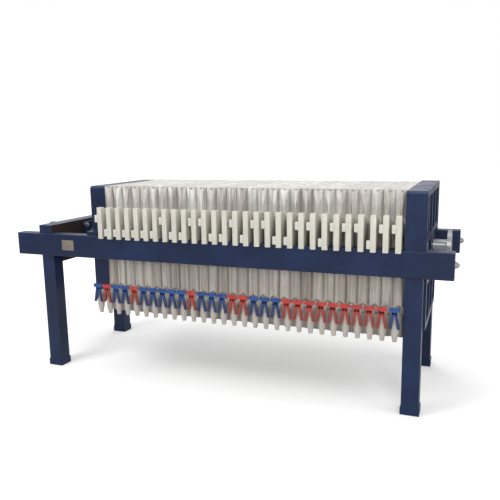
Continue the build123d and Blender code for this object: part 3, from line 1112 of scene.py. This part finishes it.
def clothMesh(number):
    columns = clothColumns()
    rows = clothRows()
    path = [(1, z, None) for z in rows]
    path += [(0, rows[-1], step / clothShape["topRows"]) for step in range(1, clothShape["topRows"])]
    path += [(-1, z, None) for z in reversed(rows)]
    lengths = [0.0]
    for (_, z, share), (_, nextZ, nextShare) in zip(path, path[1:]):
        onSide = share is None and nextShare is None
        lengths.append(lengths[-1] + (abs(nextZ - z) if onSide else clothShape["topStep"]))
    bm = bmesh.new()
    bmesh.ops.create_grid(bm, x_segments=len(columns) - 1, y_segments=len(path) - 1, size=1.0)
    flat = bm.loops.layers.uv.new("flat")
    places = {}
    for vert in bm.verts:
        column = round((vert.co.x + 1) / 2 * (len(columns) - 1))
        row = round((vert.co.y + 1) / 2 * (len(path) - 1))
        places[vert] = (columns[column], lengths[row])
        face, z, share = path[row]
        vert.co = clothPoint(face, z, columns[column], number, share)
    for face in bm.faces:
        for loop in face.loops:
            loop[flat].uv = places[loop.vert]
    eye = clothShape["eye"] + 0.001
    hole = [face for face in bm.faces
            if all(abs(v.co.y) < eye and abs(v.co.z - plateZ) < eye for v in face.verts)]
    bmesh.ops.delete(bm, geom=hole, context="FACES")
    mesh = bpy.data.meshes.new("clothShape")
    for face in bm.faces:
        face.smooth = True
    bm.to_mesh(mesh)
    bm.free()
    return mesh, lengths[-1]


highPlate = plateMesh(low=False)
lowPlate = plateMesh(low=True)
leverPair = leverMesh()
for number, name in enumerate(plateNames, start=1):
    x = plateMiddle(name)
    bodyName = f"plate_{number:02d}"
    plateForm = lowPlate if number in plateShape["lowPlates"] else highPlate
    body = placedCopy(plateForm, f"plateBody{number:02d}", x)
    body.data.materials.append(plastic)
    body.data.materials.append(dark)
    isRed = number - 1 in leverReds
    lever = placedCopy(leverPair, f"tapLevers{number:02d}", x)
    lever.data.materials.append(leverRed if isRed else leverBlue)
    mesh, length = clothMesh(number)
    mesh.transform(Matrix.Translation((x, 0, 0)))
    clothPiece = newObject(f"filterCloth{number:02d}", mesh)
    clothPiece.data.materials.append(cloth)
    wall = clothPiece.modifiers.new("wall", "SOLIDIFY")
    wall.thickness = clothShape["thick"]
    wall.offset = 0.0
    leverSlot = "lever_red" if isRed else "lever_blue"
    for piece, slotName in ((body, "plate_plastic"), (lever, leverSlot), (clothPiece, "filter_cloth")):
        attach(piece, bodyName)
        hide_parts(name)
print("plates, taps and cloths made")

# Camera at the photograph's place, lights and floor
cameraPlace = {
    "at": (1.4005, -3.2722, 1.3575),
    "yaw": -21.158,
    "pitch": 10.202,
    "roll": -0.909,
    "lens": 42.64,
    "sensor": 36,
}
yaw, pitch, roll = (math.radians(cameraPlace[key]) for key in ("yaw", "pitch", "roll"))
ahead = Vector((math.sin(yaw) * math.cos(pitch), math.cos(yaw) * math.cos(pitch), -math.sin(pitch)))
right = Vector((math.cos(yaw), -math.sin(yaw), 0))
upright = right.cross(ahead)
cameraRight = right * math.cos(roll) + upright * math.sin(roll)
cameraUp = upright * math.cos(roll) - right * math.sin(roll)
turn = Matrix((cameraRight, cameraUp, -ahead)).transposed()
camera = bpy.data.objects.new("camera", bpy.data.cameras.new("camera"))
bpy.context.scene.collection.objects.link(camera)
camera.data.lens = cameraPlace["lens"]
camera.data.sensor_width = cameraPlace["sensor"]
camera.matrix_world = Matrix.Translation(cameraPlace["at"]) @ turn.to_4x4()
bpy.context.scene.camera = camera

# Name, place, target, size in metres and power in watts
lamps = (
    ("keyLamp", (-1.9, -2.9, 3.9), (0, 0, 0.8), 2.0, 95),
    ("frontLamp", (2.2, -4.3, 2.3), (0.3, 0, 0.8), 1.8, 85),
    ("sideLamp", (4.0, -1.0, 3.0), (0.8, 0, 0.8), 2.4, 30),
    ("topLamp", (0.2, 0.3, 4.3), (0, 0, 0.8), 3.2, 40),
    ("backLamp", (-1.0, 4.0, 2.6), (0, 0, 0.8), 3.0, 60),
)
for name, at, target, size, power in lamps:
    data = bpy.data.lights.new(name, "AREA")
    data.size = size
    data.energy = power
    lamp = bpy.data.objects.new(name, data)
    bpy.context.scene.collection.objects.link(lamp)
    direction = Vector(target) - Vector(at)
    lamp.matrix_world = Matrix.Translation(at) @ direction.to_track_quat("-Z", "Y").to_matrix().to_4x4()

studio = {
    "worldSeen": 1.0,
    "worldLight": 0.6,
    "floorSize": 30,
    "floorRough": 0.9,
    "floorGlow": (0.16, 0.6),
    "floorGlowFrom": (1.2, 5.0),
}
world = bpy.data.worlds.new("studio")
bpy.context.scene.world = world
world.use_nodes = True
worldTree = world.node_tree
background = worldTree.nodes["Background"]
lightPath = worldTree.nodes.new("ShaderNodeLightPath")
seen = mathNode(worldTree, "MAXIMUM", lightPath.outputs["Is Camera Ray"], lightPath.outputs["Is Glossy Ray"])
seen = mathNode(worldTree, "MAXIMUM", seen, lightPath.outputs["Is Transmission Ray"])
strength = worldTree.nodes.new("ShaderNodeMapRange")
worldTree.links.new(seen, strength.inputs["Value"])
strength.inputs["To Min"].default_value = studio["worldLight"]
strength.inputs["To Max"].default_value = studio["worldSeen"]
worldTree.links.new(strength.outputs["Result"], background.inputs["Strength"])
background.inputs["Color"].default_value = (1, 1, 1, 1)

floorBm = bmesh.new()
bmesh.ops.create_grid(floorBm, x_segments=1, y_segments=1, size=studio["floorSize"])
floor = newObject("floor", meshFrom(floorBm, "floor"))
floorMaterial, floorTree, floorShader = newMaterial("studioFloor")
floorShader.inputs["Base Color"].default_value = hexColor(finishColors["floor"])
floorShader.inputs["Roughness"].default_value = studio["floorRough"]
floorShader.inputs["Specular IOR Level"].default_value = 0.0
# Away from the press the camera sees the floor as white as the backdrop, and near it the shadow stays
floorPath = floorTree.nodes.new("ShaderNodeLightPath")
floorSpot = floorTree.nodes.new("ShaderNodeVectorMath")
floorSpot.operation = "LENGTH"
floorTree.links.new(objectVector(floorTree), floorSpot.inputs[0])
glow = rangeNode(floorTree, floorSpot.outputs["Value"], *studio["floorGlowFrom"], *studio["floorGlow"])
floorShader.inputs["Emission Color"].default_value = (1, 1, 1, 1)
floorTree.links.new(mathNode(floorTree, "MULTIPLY", floorPath.outputs["Is Camera Ray"], glow),
                    floorShader.inputs["Emission Strength"])
floor.data.materials.append(floorMaterial)
bpy.context.scene.view_settings.view_transform = "Standard"
print("camera, lights and floor set")
